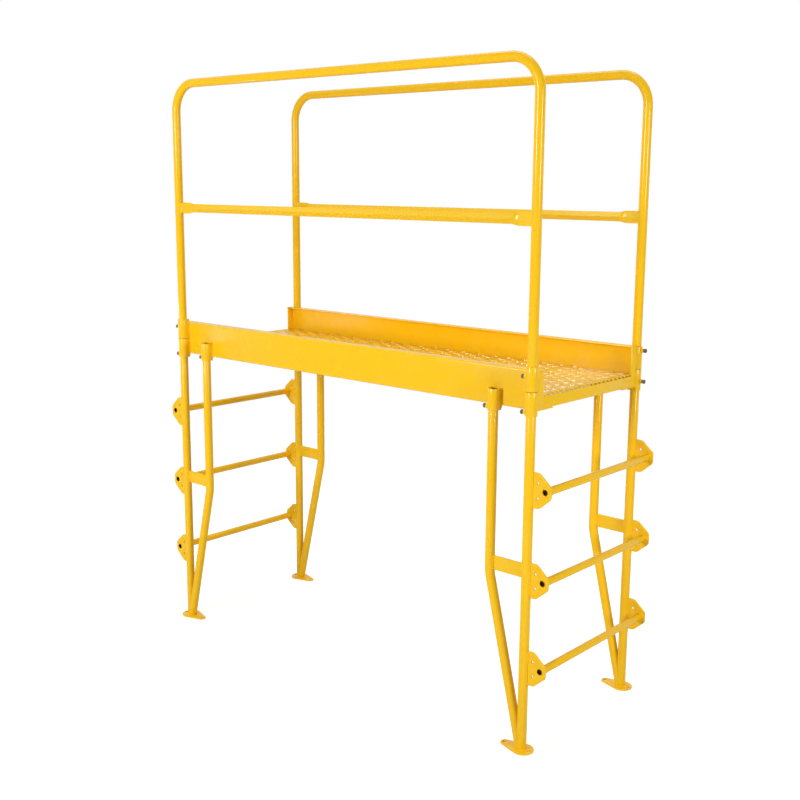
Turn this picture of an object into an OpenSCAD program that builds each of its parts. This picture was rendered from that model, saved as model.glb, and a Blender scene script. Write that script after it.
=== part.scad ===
// Small bolted work platform: grated deck between two side channels, removable guardrails
// and two ladder end frames. Units are millimetres. +X runs along the platform, -Y is the
// front, +Z is up, and the origin is on the floor under the middle of the platform.

/* [Overall size] */
// Distance between the corner post axes along the platform
post_span = 1791; // [1660:1:1830]
// Distance between the corner post axes across the platform
post_width = 644.8; // [600:0.2:760]
// Height of the walking surface above the floor
deck_height = 1215; // [1190:1:1260]
// Height of the top of the guardrails above the walking surface
guardrail_rise = 1058; // [900:1:1150]
// Height of the mid rail axis above the walking surface
midrail_rise = 552.6; // [450:0.1:650]

/* [Tubes] */
// Outside diameter of the legs and guardrails
tube_od = 33.4; // [31:0.1:34]
// Wall thickness of the legs and guardrails
tube_wall = 3.4; // [2:0.1:4]
// Outside diameter of the rungs
rung_od = 26.7; // [22:0.1:28]
// Wall thickness of the rungs
rung_wall = 2.9; // [2:0.1:3.5]
// Centreline radius of the guardrail's two top corners
hoop_bend_radius = 110; // [80:1:150]
// Length of the flattened end of a mid rail
crimp_length = 48; // [30:1:60]
// Length over which a mid rail changes from round to flat
crimp_taper = 34; // [20:1:50]
// Height of the flattened end of a mid rail
crimp_height = 44; // [38:1:48]
// Thickness of the flattened end of a mid rail
crimp_thickness = 10; // [8:1:14]

/* [Side channels] */
// Plate thickness of the side channels
channel_thickness = 4.8; // [4:0.1:6]
// Height of the front channel
front_channel_height = 132; // [120:1:136]
// Height of the rear channel
rear_channel_height = 152; // [136:1:156]
// Width of the channels' top flange
top_flange = 36; // [25:1:45]
// Width of the channels' bottom flange, which carries the planks
bottom_flange = 88; // [50:1:95]
// How far the channels run past the corner post axes
channel_overhang = 12; // [8:1:20]
// Width of the plate that closes a channel's end
end_cap_width = 33; // [25:1:40]

/* [Deck planks] */
// Distance from one plank to the next
plank_pitch = 309; // [309:1:312]
// Gap between neighbouring planks
plank_gap = 4; // [2:1:6]
// Sheet thickness of the planks
plank_sheet = 2.5; // [2:0.1:3]
// Width of the diamond openings along the platform
diamond_width = 28; // [20:1:32]
// Length of the diamond openings across the platform
diamond_length = 44; // [30:1:46]

/* [Sockets] */
// Wall thickness of the sockets
socket_wall = 3.2; // [2.5:0.1:4]
// Clearance round a tube in its socket
socket_clearance = 0.4; // [0.3:0.1:0.6]
// Height of a guardrail socket
upper_socket_height = 80.5; // [70:0.5:90]
// Height of a corner leg socket
lower_socket_height = 78; // [70:1:80]
// Height of an inner leg socket
inner_socket_height = 72; // [60:1:76]

/* [End frames] */
// Distance between rungs, and from the top rung to the walking surface
rung_pitch = 304.8; // [295:0.1:305]
// Height of the lowest rung axis
first_rung = 300.7; // [290:0.1:310]
// How far the rungs stand outboard of the corner legs
rung_offset = 65.8; // [60:0.1:68]
// Distance from a corner leg axis to its inner leg axis
leg_gap = 151; // [120:1:180]
// Height where the inner legs start to slant outward
bend_height = 597; // [500:1:600]
// Distance between the two leg axes at the floor
foot_inset = 5; // [3:1:12]
// Height of the flat tie bars between the legs
tie_bar_height = 50; // [40:1:60]
// Thickness of the tie bars, ear plates and base plates
plate_thickness = 6; // [5:0.5:8]
// How far an ear plate reaches outboard of the leg axis
ear_reach = 88; // [84:1:95]
// Height of an ear plate
ear_height = 120; // [110:1:130]
// Diameter of the two bracing holes in an ear plate
ear_hole = 9; // [8:0.5:12]
// Distance between the two bracing holes
ear_hole_spacing = 50; // [46:1:60]

/* [Base plates] */
// Radius of the base plate round the legs
foot_radius = 37; // [34:1:42]
// Radius of the base plate's inboard tip
foot_tip_radius = 17; // [14:1:22]
// Distance between the two anchor holes
anchor_spacing = 101; // [96:1:104]
// Diameter of the anchor holes
anchor_hole = 13; // [11:0.5:14]

/* [Fasteners] */
// Diameter of the set bolts
bolt_d = 9.5; // [8:0.5:10]
// Width of the bolt heads and weld nuts across their flats
hex_flats = 14.3; // [13:0.1:17]
// Thickness of the bolt heads
head_height = 6.2; // [5:0.1:8]
// Thickness of the weld nuts
nut_height = 8.3; // [6:0.1:10]
// Distance from the tube axis to the inner face of a bolt head
head_reach = 32.9; // [31:0.1:36]

/* [Hidden] */
$fn = 64;

ENDS = ["left", "right"];
SIDES = ["front", "rear"];
LEVELS = ["low", "middle", "high"];
PLANKS = 6;

DECK_NODES = concat(
    [for (s = SIDES) str(s, "_side_channel")],
    [for (s = SIDES, e = ENDS) str(s, "_", e, "_end_cap")],
    [for (e = ENDS) str(e, "_end_beam")],
    [for (k = [1:PLANKS]) str("deck_plank_", k)],
    [for (s = SIDES, e = ENDS) str(s, "_", e, "_guardrail_socket")],
    [for (s = SIDES, e = ENDS) str(s, "_", e, "_corner_leg_socket")],
    [for (s = SIDES, e = ENDS) str(s, "_", e, "_inner_leg_socket")],
    ["guardrail_set_bolts", "corner_leg_set_bolts", "inner_leg_set_bolts", "weld_nuts"]
);
GUARDRAIL_NODES = [for (s = SIDES, part = ["guardrail_hoop", "mid_rail"]) str(s, "_", part)];
END_FRAME_NODES = concat(
    [for (part = ["corner_leg", "inner_leg", "tie_bar", "base_plate", "ear_plates"],
        s = SIDES, e = ENDS) str(s, "_", e, "_", part)],
    [for (e = ENDS, level = LEVELS) str(e, "_", level, "_rung")]
);

YELLOW = [0.98, 0.74, 0.07];
ZINC = [0.55, 0.55, 0.56];
CUT = 1;

// Plan positions
post_x = post_span / 2;
post_y = post_width / 2;
inner_x = post_x - leg_gap;
tube_r = tube_od / 2;
bore_r = tube_r - tube_wall;
rung_x = post_x + rung_offset;

// Side channels: the web stands just inside the tubes
web_gap = tube_r + 0.3;
web_y = post_y - web_gap;
channel_end = post_x + channel_overhang;
bend_outer = 7;
bend_inner = bend_outer - channel_thickness;
plank_depth = 46.2;
flange_top = deck_height - plank_depth;
channel_bottom = flange_top - channel_thickness;

// Planks lie on the bottom flanges between the webs
beam_thickness = 5;
beam_inner = channel_end - beam_thickness;
beam_drop = 8;
plank_end = web_y - bend_outer - 1.3;
plank_lip = 16;
diamond_pitch_x = 44;
diamond_pitch_y = 52;

// Sockets
socket_inner = tube_r + socket_clearance;
socket_outer = socket_inner + socket_wall;
socket_split = deck_height + 14;
upper_socket_bottom = socket_split + 0.5;
lower_socket_top = socket_split - 1;
inner_socket_top = deck_height + 7;
guardrail_bottom = socket_split + 2;
corner_leg_top = socket_split - 2;
inner_leg_top = inner_socket_top - 2;

// Height of each set bolt: [front, rear]
upper_bolt_z = [deck_height + 60, deck_height + 82];
lower_bolt_z = [deck_height - 55, deck_height - 30];
inner_bolt_z = deck_height - 55;
bolt_tip = tube_r + 0.4;
bolt_clearance = 0.05;
hex_corners = hex_flats / cos(30);

// Guardrail
hoop_axis_top = deck_height + guardrail_rise - tube_r;
midrail_z = deck_height + midrail_rise;
crimp_end = post_x - tube_r - crimp_length;
midrail_round = crimp_end - crimp_taper;

// Inner leg: straight, then slanting down to the foot of the corner leg
slant = atan((leg_gap - foot_inset) / bend_height);
slant_length = bend_height / cos(slant) + tube_od;
tie_bar_bottom = bend_height + 10;

// Ear plates, measured outboard from the leg axis
ear_shoulder = 42;
ear_nose = 20;
ear_hole_x = 36;

// Base plates, measured outboard from the corner leg axis
foot_centre = 6;
foot_tip_centre = -67;
anchor_x = -70;

function side_of(s) = s == 0 ? -1 : 1;
function channel_height(s) = s == 0 ? front_channel_height : rear_channel_height;

// Carries a shape drawn for the right rear quarter to side s and end e
module placed(s, e) {
    mirror([side_of(e) < 0 ? 1 : 0, 0, 0])
        mirror([0, side_of(s) < 0 ? 1 : 0, 0])
            children();
}

// ---- Deck ----

module rounded_left(w, h, r) {
    translate([r, 0]) square([w - r, h]);
    translate([0, r]) square([w, h - 2 * r]);
    translate([r, r]) circle(r);
    translate([r, h - r]) circle(r);
}

// Channel section, from the web's outer face inward
module channel_profile(h) {
    difference() {
        rounded_left(bottom_flange, h, bend_outer);
        translate([channel_thickness, channel_thickness])
            rounded_left(bottom_flange, h - 2 * channel_thickness, bend_inner);
        translate([top_flange, h / 2]) square([bottom_flange, h]);
    }
}

module side_channel(s) {
    color(YELLOW)
        mirror([0, side_of(s) > 0 ? 1 : 0, 0])
            translate([0, -web_y, channel_bottom])
                rotate([90, 0, 90])
                    linear_extrude(2 * channel_end, center = true)
                        channel_profile(channel_height(s));
}

module end_cap(s, e) {
    inside = channel_height(s) - 2 * channel_thickness;
    color(YELLOW)
        mirror([side_of(e) < 0 ? 1 : 0, 0, 0])
            mirror([0, side_of(s) > 0 ? 1 : 0, 0])
                translate([channel_end - channel_thickness, -web_y, channel_bottom])
                    rotate([90, 0, 90])
                        linear_extrude(channel_thickness)
                            translate([channel_thickness, channel_thickness])
                                rounded_left(end_cap_width - channel_thickness, inside, bend_inner);
}

module end_beam(e) {
    half_length = web_y - end_cap_width;
    x0 = side_of(e) < 0 ? -channel_end : beam_inner;
    color(YELLOW)
        translate([x0, -half_length, flange_top])
            cube([beam_thickness, 2 * half_length, plank_depth - beam_drop]);
}

function plank_start(k) = max(-channel_end + (k - 1) * plank_pitch, -beam_inner) + plank_gap / 2;
function plank_finish(k) = min(-channel_end + k * plank_pitch, beam_inner) - plank_gap / 2;

// Inverted tray section with lips, drawn across the plank
module plank_profile(w) {
    inside = w - 2 * plank_sheet;
    difference() {
        square([w, plank_depth]);
        translate([plank_sheet, plank_sheet]) square([inside, plank_depth - 2 * plank_sheet]);
        translate([plank_lip, -CUT]) square([w - 2 * plank_lip, plank_sheet + 2 * CUT]);
    }
}

module diamond() {
    polygon([
        [-diamond_width / 2, 0],
        [0, -diamond_length / 2],
        [diamond_width / 2, 0],
        [0, diamond_length / 2]
    ]);
}

module deck_plank(k) {
    w = plank_finish(k) - plank_start(k);
    rows = round(w / diamond_pitch_x);
    row_pitch = w / rows;
    last = floor((plank_end - diamond_length) / diamond_pitch_y);
    color(YELLOW)
        translate([plank_start(k), 0, flange_top])
            difference() {
                translate([0, plank_end, 0])
                    rotate([90, 0, 0])
                        linear_extrude(2 * plank_end)
                            plank_profile(w);
                translate([0, 0, plank_depth - plank_sheet - CUT])
                    linear_extrude(plank_sheet + 2 * CUT)
                        for (row = [0:rows - 1], n = [-last:last])
                            translate([
                                (row + 0.5) * row_pitch,
                                (n + (row % 2) / 2 - 0.25) * diamond_pitch_y
                            ])
                                diamond();
            }
}

// ---- Sockets and their fasteners ----

// Outline round a tube, cut off at the web; straight lists the sides, -1 or 1, that run
// straight to the web
module socket_outline(r, straight) {
    intersection() {
        circle(r);
        translate([-r, -web_gap]) square([2 * r, web_gap + r]);
    }
    for (side = straight)
        translate([side < 0 ? -r : 0, -web_gap]) square([r, web_gap]);
}

// Turns +Z to the way a set bolt points out: -X at the front, +X at the rear
module bolt_direction(s) {
    rotate([0, 90 * side_of(s), 0]) children();
}

module socket(s, x, z0, h, bolt_z, straight) {
    color(YELLOW)
        difference() {
            translate([x, side_of(s) * post_y, z0])
                mirror([0, side_of(s) < 0 ? 1 : 0, 0])
                    linear_extrude(h)
                        difference() {
                            socket_outline(socket_outer, straight);
                            socket_outline(socket_inner, straight);
                        }
            translate([x, side_of(s) * post_y, bolt_z])
                bolt_direction(s)
                    cylinder(d = bolt_d + 2 * bolt_clearance, h = socket_outer + CUT);
        }
}

module guardrail_socket(s, e) {
    socket(s, side_of(e) * post_x, upper_socket_bottom, upper_socket_height, upper_bolt_z[s],
        [-side_of(e)]);
}

module corner_leg_socket(s, e) {
    bottom = lower_socket_top - lower_socket_height;
    socket(s, side_of(e) * post_x, bottom, lower_socket_height, lower_bolt_z[s], [-side_of(e)]);
}

module inner_leg_socket(s, e) {
    bottom = inner_socket_top - inner_socket_height;
    socket(s, side_of(e) * inner_x, bottom, inner_socket_height, inner_bolt_z, [-1, 1]);
}

module set_bolt() {
    color(ZINC) {
        translate([0, 0, bolt_tip]) cylinder(d = bolt_d, h = head_reach - bolt_tip);
        translate([0, 0, head_reach]) cylinder(d = hex_corners, h = head_height, $fn = 6);
    }
}

module weld_nut() {
    color(YELLOW)
        translate([0, 0, socket_outer])
            difference() {
                cylinder(d = hex_corners, h = nut_height, $fn = 6);
                translate([0, 0, -CUT])
                    cylinder(d = bolt_d + 2 * bolt_clearance, h = nut_height + 2 * CUT);
            }
}

// Puts a fastener at all four places of one kind, at height z[0] in front and z[1] at the rear
module at_four(x, z) {
    for (s = [0, 1], e = [0, 1])
        translate([side_of(e) * x, side_of(s) * post_y, z[s]])
            bolt_direction(s)
                children();
}

module guardrail_set_bolts() {
    at_four(post_x, upper_bolt_z) set_bolt();
}

module corner_leg_set_bolts() {
    at_four(post_x, lower_bolt_z) set_bolt();
}

module inner_leg_set_bolts() {
    at_four(inner_x, [inner_bolt_z, inner_bolt_z]) set_bolt();
}

module weld_nuts() {
    at_four(post_x, upper_bolt_z) weld_nut();
    at_four(post_x, lower_bolt_z) weld_nut();
    at_four(inner_x, [inner_bolt_z, inner_bolt_z]) weld_nut();
}

// ---- Guardrails ----

module hoop_half(r) {
    straight_top = hoop_axis_top - hoop_bend_radius;
    translate([post_x, 0, guardrail_bottom]) cylinder(r = r, h = straight_top - guardrail_bottom);
    translate([post_x - hoop_bend_radius, 0, straight_top])
        rotate([90, 0, 0])
            rotate_extrude(angle = 90)
                translate([hoop_bend_radius, 0])
                    circle(r);
    translate([0, 0, hoop_axis_top])
        rotate([0, 90, 0])
            cylinder(r = r, h = post_x - hoop_bend_radius);
}

module hoop_path(r) {
    hoop_half(r);
    mirror([1, 0, 0]) hoop_half(r);
}

module guardrail_hoop(s) {
    color(YELLOW)
        translate([0, side_of(s) * post_y, 0])
            difference() {
                hoop_path(tube_r);
                hoop_path(bore_r);
                for (e = [-1, 1])
                    translate([e * post_x, 0, guardrail_bottom - CUT])
                        cylinder(r = bore_r, h = 2 * CUT);
            }
}

// Round rail whose ends narrow to the thickness of the crimp
module tapered_rail() {
    intersection() {
        rotate([0, 90, 0]) cylinder(r = tube_r, h = 2 * crimp_end, center = true);
        linear_extrude(2 * tube_od, center = true)
            polygon([
                [-crimp_end, -crimp_thickness / 2],
                [-midrail_round, -tube_od],
                [midrail_round, -tube_od],
                [crimp_end, -crimp_thickness / 2],
                [crimp_end, crimp_thickness / 2],
                [midrail_round, tube_od],
                [-midrail_round, tube_od],
                [-crimp_end, crimp_thickness / 2]
            ]);
    }
}

// Flat end of the rail, which flares out above and below it
module crimp_plate() {
    rotate([90, 0, 0])
        linear_extrude(crimp_thickness, center = true)
            polygon([
                [midrail_round, -0.8 * tube_r],
                [crimp_end, -crimp_height / 2],
                [post_x, -crimp_height / 2],
                [post_x, crimp_height / 2],
                [crimp_end, crimp_height / 2],
                [midrail_round, 0.8 * tube_r]
            ]);
}

module mid_rail(s) {
    slit = crimp_thickness - 2 * tube_wall;
    color(YELLOW)
        translate([0, side_of(s) * post_y, midrail_z])
            difference() {
                union() {
                    tapered_rail();
                    crimp_plate();
                    mirror([1, 0, 0]) crimp_plate();
                }
                rotate([0, 90, 0]) cylinder(r = bore_r, h = 2 * midrail_round, center = true);
                cube([post_span, slit, 1.8 * bore_r], center = true);
                for (e = [-1, 1])
                    translate([e * post_x, 0, 0])
                        cylinder(r = tube_r, h = 2 * crimp_height, center = true);
            }
}

// ---- End frames ----

module corner_leg_solid(r, z0, z1) {
    translate([post_x, post_y, z0]) cylinder(r = r, h = z1 - z0);
}

module corner_leg(s, e) {
    color(YELLOW)
        placed(s, e)
            difference() {
                corner_leg_solid(tube_r, plate_thickness, corner_leg_top);
                corner_leg_solid(bore_r, 0, corner_leg_top + CUT);
            }
}

// Two straight runs that meet in a rounded bend
module inner_leg_path(r, top) {
    translate([inner_x, post_y, bend_height]) {
        cylinder(r = r, h = top - bend_height);
        sphere(r);
        rotate([0, 180 - slant, 0]) cylinder(r = r, h = slant_length);
    }
}

module inner_leg(s, e) {
    color(YELLOW)
        placed(s, e)
            difference() {
                inner_leg_path(tube_r, inner_leg_top);
                inner_leg_path(bore_r, inner_leg_top + CUT);
                corner_leg_solid(tube_r, -tube_od, deck_height);
                translate([inner_x, 0, plate_thickness - deck_height])
                    cube([deck_height, deck_height, deck_height]);
            }
}

module tie_bar(s, e) {
    color(YELLOW)
        placed(s, e)
            difference() {
                translate([inner_x, post_y - plate_thickness / 2, tie_bar_bottom])
                    cube([leg_gap, plate_thickness, tie_bar_height]);
                inner_leg_path(tube_r, inner_leg_top);
                corner_leg_solid(tube_r, 0, deck_height);
            }
}

// Teardrop outline: two circles joined by their common tangents
module teardrop(x1, r1, x2, r2) {
    half_angle = acos((r1 - r2) / (x1 - x2));
    translate([x1, 0]) circle(r1);
    translate([x2, 0]) circle(r2);
    polygon([
        [x1 - r1 * cos(half_angle), r1 * sin(half_angle)],
        [x2 - r2 * cos(half_angle), r2 * sin(half_angle)],
        [x2 - r2 * cos(half_angle), -r2 * sin(half_angle)],
        [x1 - r1 * cos(half_angle), -r1 * sin(half_angle)]
    ]);
}

module base_plate(s, e) {
    color(YELLOW)
        placed(s, e)
            translate([post_x, post_y, 0])
                difference() {
                    linear_extrude(plate_thickness)
                        teardrop(foot_centre, foot_radius, foot_tip_centre, foot_tip_radius);
                    for (x = [anchor_x, anchor_x + anchor_spacing])
                        translate([x, 0, -CUT])
                            cylinder(d = anchor_hole, h = plate_thickness + 2 * CUT);
                }
}

module ear_outline() {
    half = ear_height / 2;
    polygon([
        [bore_r, -half],
        [ear_shoulder, -half],
        [ear_reach, -ear_nose],
        [ear_reach, ear_nose],
        [ear_shoulder, half],
        [bore_r, half]
    ]);
}

module ear_plate() {
    rotate([90, 0, 0])
        difference() {
            linear_extrude(plate_thickness, center = true) ear_outline();
            translate([rung_offset, 0, 0])
                cylinder(d = rung_od, h = 2 * plate_thickness, center = true);
            for (z = [-1, 1])
                translate([ear_hole_x, z * ear_hole_spacing / 2, 0])
                    cylinder(d = ear_hole, h = 2 * plate_thickness, center = true);
        }
}

function rung_z(level) = first_rung + level * rung_pitch;

module ear_plates(s, e) {
    color(YELLOW)
        placed(s, e)
            difference() {
                for (level = [0:2])
                    translate([post_x, post_y, rung_z(level)])
                        ear_plate();
                corner_leg_solid(tube_r, 0, deck_height);
            }
}

module rung(e, level) {
    length = post_width + plate_thickness;
    color(YELLOW)
        translate([side_of(e) * rung_x, 0, rung_z(level)])
            rotate([90, 0, 0])
                difference() {
                    cylinder(d = rung_od, h = length, center = true);
                    cylinder(d = rung_od - 2 * rung_wall, h = length + 2 * CUT, center = true);
                }
}

guardrail_set_bolts();
corner_leg_set_bolts();
inner_leg_set_bolts();
weld_nuts();

for (k = [1:PLANKS]) {
    deck_plank(k);
}

for (s = [0, 1]) {
    side_channel(s);
    guardrail_hoop(s);
    mid_rail(s);
}

for (e = [0, 1]) {
    end_beam(e);
}

for (e = [0, 1], level = [0:2]) {
    rung(e, level);
}

for (s = [0, 1], e = [0, 1]) {
    corner = str(SIDES[s], "_", ENDS[e], "_");
    end_cap(s, e);
    guardrail_socket(s, e);
    corner_leg_socket(s, e);
    inner_leg_socket(s, e);
    corner_leg(s, e);
    inner_leg(s, e);
    tie_bar(s, e);
    base_plate(s, e);
    ear_plates(s, e);
}
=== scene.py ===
"""Looks of a small bolted work platform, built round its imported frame. Lengths are in metres."""

import math

import bmesh
import bpy
from mathutils import Matrix, Vector


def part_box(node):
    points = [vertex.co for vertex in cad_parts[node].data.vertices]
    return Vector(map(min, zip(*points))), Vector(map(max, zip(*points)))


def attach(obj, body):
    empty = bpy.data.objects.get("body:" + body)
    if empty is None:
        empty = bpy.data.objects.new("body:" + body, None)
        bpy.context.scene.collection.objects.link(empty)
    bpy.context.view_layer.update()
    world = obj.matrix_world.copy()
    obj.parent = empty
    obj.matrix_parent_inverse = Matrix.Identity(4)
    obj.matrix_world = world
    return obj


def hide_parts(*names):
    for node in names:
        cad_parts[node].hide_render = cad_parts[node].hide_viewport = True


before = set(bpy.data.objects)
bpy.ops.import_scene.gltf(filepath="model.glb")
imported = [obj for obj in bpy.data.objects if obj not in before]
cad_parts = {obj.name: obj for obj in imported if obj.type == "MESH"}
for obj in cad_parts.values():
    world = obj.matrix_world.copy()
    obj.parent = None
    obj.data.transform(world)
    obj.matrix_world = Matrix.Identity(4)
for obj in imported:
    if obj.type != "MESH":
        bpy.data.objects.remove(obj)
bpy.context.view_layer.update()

scene = bpy.context.scene

# ---- Sizes, read from the frame where it holds them ----

SIDES = {"front": -1, "rear": 1}
ENDS = {"left": -1, "right": 1}
LEVELS = ("low", "middle", "high")
PLANKS = range(1, 7)
DOWN, UP = Vector((0, 0, -1)), Vector((0, 0, 1))

leg_low, leg_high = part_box("rear_right_corner_leg")
TUBE_R = (leg_high.x - leg_low.x) / 2
POST_X = (leg_high.x + leg_low.x) / 2
POST_Y = (leg_high.y + leg_low.y) / 2
TUBE_WALL = 0.0034
TUBE_SIDES = 48

hoop_low, hoop_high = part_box("rear_guardrail_hoop")
HOOP_AXIS_Z = hoop_high.z - TUBE_R
HOOP_BEND = 0.110

rail_low, rail_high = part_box("rear_mid_rail")
RAIL_Z = (rail_low.z + rail_high.z) / 2
CRIMP_HALF_HEIGHT = (rail_high.z - rail_low.z) / 2
CRIMP_HALF_THICKNESS = 0.005
CRIMP_LENGTH = 0.048
CRIMP_TAPER = 0.034
CRIMP_STEPS = 10
CRIMP_SQUARENESS = 1.9
CRIMP_ROOT = 0.7 * TUBE_R
CRIMP_WELD = 0.94 * TUBE_R

inner_socket_low, inner_socket_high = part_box("rear_right_inner_leg_socket")
INNER_X = (inner_socket_low.x + inner_socket_high.x) / 2
SOCKET_R = (inner_socket_high.x - inner_socket_low.x) / 2
SOCKET_WALL = 0.0032
ROUND_SIDE = 0.0111
INNER_LEG_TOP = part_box("rear_right_inner_leg")[1].z
LEG_BEND_Z = 0.597
LEG_BEND_R = 0.120
FOOT_INSET = 0.005
SLANT = math.atan((POST_X - INNER_X - FOOT_INSET) / LEG_BEND_Z)

plate_low, plate_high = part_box("rear_right_base_plate")
PLATE = plate_high.z
WEB_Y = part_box("rear_side_channel")[1].y
CHANNEL_PLATE = 0.0048
CHANNEL_BEND = 0.007
TOP_FLANGE = 0.036

rung_low, rung_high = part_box("right_low_rung")
RUNG_R = (rung_high.x - rung_low.x) / 2
RUNG_X = (rung_high.x + rung_low.x) / 2
RUNG_WALL = 0.0029

EAR_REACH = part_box("rear_right_ear_plates")[1].x - POST_X
EAR_ROOT = 0.85 * TUBE_R
EAR_WELD = 0.97 * TUBE_R
EAR_HALF = 0.060
EAR_SHOULDER = 0.042
EAR_NOSE = 0.020
EAR_HOLE_X = 0.036
EAR_HOLE_Z = 0.025
EAR_HOLE_R = 0.0045
EAR_CORNER = 0.007

FOOT_R = (plate_high.y - plate_low.y) / 2
FOOT_CENTRE = 0.006
FOOT_TIP_R = 0.017
FOOT_TIP = -0.067
ANCHORS = (-0.070, 0.031)
ANCHOR_R = 0.0065

EDGE_ROUNDING = 0.0007
PLATE_ROUNDING = 0.0006
CHANNEL_ROUNDING = 0.0009
TUBE_END_ROUNDING = 0.0005
BEAD = 0.0028
THIN_BEAD = 0.0022
RUNG_BEAD = 0.0025
RUNG_RIPPLES = 34

# ---- Camera and studio ----

CAMERA_PLACE = Vector((2.8627, -3.1151, 1.8504))
CAMERA_YAW = math.radians(40.04)
CAMERA_PITCH = math.radians(10.86)
CAMERA_ROLL = math.radians(0.76)
CAMERA_LENS = 49.18
CAMERA_SHIFT = (-0.0498, 0.0004)
BRIGHT_WALL = (-0.62, 0.74, 0.25)
WALL_SPREAD = (-0.2, 0.9)
WALL_LIGHT = (0.22, 0.85)
FLOOR_R = 4.5
FLOOR_GLOW = 0.62
FLOOR_COLOUR = (0.62, 0.61, 0.6, 1)


def make_camera():
    """A camera at standing eye height, in front of the right end."""
    data = bpy.data.cameras.new("camera")
    data.lens = CAMERA_LENS
    data.shift_x, data.shift_y = CAMERA_SHIFT
    camera = bpy.data.objects.new("camera", data)
    aim = (
        Matrix.Rotation(CAMERA_YAW, 4, "Z")
        @ Matrix.Rotation(math.pi / 2 - CAMERA_PITCH, 4, "X")
        @ Matrix.Rotation(CAMERA_ROLL, 4, "Z")
    )
    camera.matrix_world = Matrix.Translation(CAMERA_PLACE) @ aim
    scene.collection.objects.link(camera)
    scene.camera = camera


def area_light(name, place, target, size, power):
    """A soft square light at place that faces target."""
    data = bpy.data.lights.new(name, "AREA")
    data.size = size
    data.energy = power
    light = bpy.data.objects.new(name, data)
    light.location = place
    light.rotation_euler = (Vector(target) - Vector(place)).to_track_quat("-Z", "Y").to_euler()
    scene.collection.objects.link(light)


def make_surroundings():
    """White surroundings that light the platform more strongly from the back left."""
    world = bpy.data.worlds.new("studio")
    world.use_nodes = True
    nodes, links = world.node_tree.nodes, world.node_tree.links
    backdrop = nodes["Background"]
    backdrop.inputs["Color"].default_value = (1, 1, 1, 1)
    facing = nodes.new("ShaderNodeVectorMath")
    facing.operation = "DOT_PRODUCT"
    facing.inputs[1].default_value = BRIGHT_WALL
    links.new(nodes.new("ShaderNodeTexCoord").outputs["Generated"], facing.inputs[0])
    lit = ramp(world.node_tree, links, facing.outputs["Value"], *WALL_SPREAD, *WALL_LIGHT)
    seen = nodes.new("ShaderNodeLightPath").outputs["Is Camera Ray"]
    links.new(math_node(world.node_tree, links, "MAXIMUM", lit, seen), backdrop.inputs["Strength"])
    scene.world = world
    scene.view_settings.view_transform = "Standard"


def make_studio():
    """Pale floor, white surroundings and soft lights."""
    make_surroundings()
    area_light("key", place=(-0.6, -5.0, 2.3), target=(0, 0, 1.2), size=1.5, power=165)
    area_light("end_fill", place=(4.8, -0.6, 2.0), target=(0.6, 0, 1.0), size=1.2, power=85)
    area_light("glint", place=(-1.72, -0.5, 1.13), target=(-0.83, 0.3, 1.27), size=0.12, power=1)
    area_light("overhead", place=(-0.4, 0.8, 5.4), target=(0, 0, 1.0), size=3.0, power=60)
    bm = bmesh.new()
    bmesh.ops.create_circle(bm, radius=FLOOR_R, segments=96, cap_ends=True)
    mesh = bpy.data.meshes.new("floor")
    bm.to_mesh(mesh)
    bm.free()
    pale = bpy.data.materials.new("pale_floor")
    pale.use_nodes = True
    skin = pale.node_tree.nodes["Principled BSDF"]
    skin.inputs["Base Color"].default_value = FLOOR_COLOUR
    skin.inputs["Roughness"].default_value = 0.8
    skin.inputs["Emission Color"].default_value = (1, 1, 1, 1)
    seen = pale.node_tree.nodes.new("ShaderNodeLightPath").outputs["Is Camera Ray"]
    glow = math_node(pale.node_tree, pale.node_tree.links, "MULTIPLY", seen, FLOOR_GLOW)
    pale.node_tree.links.new(glow, skin.inputs["Emission Strength"])
    mesh.materials.append(pale)
    floor = bpy.data.objects.new("floor", mesh)
    scene.collection.objects.link(floor)


# ---- Shader groups ----


def group_socket(group, name, direction, kind, value=None):
    """A value that goes in or out of a shader group."""
    made = group.interface.new_socket(name=name, in_out=direction, socket_type=kind)
    if value is not None:
        made.default_value = value


def noise(group, links, coordinates, scale, detail):
    """Noise between 0 and 1."""
    node = group.nodes.new("ShaderNodeTexNoise")
    node.inputs["Scale"].default_value = scale
    node.inputs["Detail"].default_value = detail
    links.new(coordinates, node.inputs["Vector"])
    return node.outputs["Fac"]


def ramp(group, links, value, low, high, start=0.0, end=1.0):
    """Maps value from low..high to start..end."""
    node = group.nodes.new("ShaderNodeMapRange")
    node.inputs["From Min"].default_value = low
    node.inputs["From Max"].default_value = high
    node.inputs["To Min"].default_value = start
    node.inputs["To Max"].default_value = end
    links.new(value, node.inputs["Value"])
    return node.outputs["Result"]


def mixed(group, links, amount, first, second):
    """Colour between first and second; each is a socket or a plain colour."""
    node = group.nodes.new("ShaderNodeMix")
    node.data_type = "RGBA"
    links.new(amount, node.inputs["Factor"])
    for name, colour in (("A", first), ("B", second)):
        place = [s for s in node.inputs if s.name == name and s.type == "RGBA"][0]
        if isinstance(colour, bpy.types.NodeSocket):
            links.new(colour, place)
        else:
            place.default_value = colour
    return [s for s in node.outputs if s.type == "RGBA"][0]


def math_node(group, links, kind, first, second):
    node = group.nodes.new("ShaderNodeMath")
    node.operation = kind
    for place, value in zip(node.inputs, (first, second)):
        if isinstance(value, bpy.types.NodeSocket):
            links.new(value, place)
        else:
            place.default_value = value
    return node.outputs["Value"]


DUST_COLOUR = (0.42, 0.36, 0.25, 1)
CLOUD_STRENGTH = 0.25
WAVE_HEIGHT = 1.6


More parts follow.
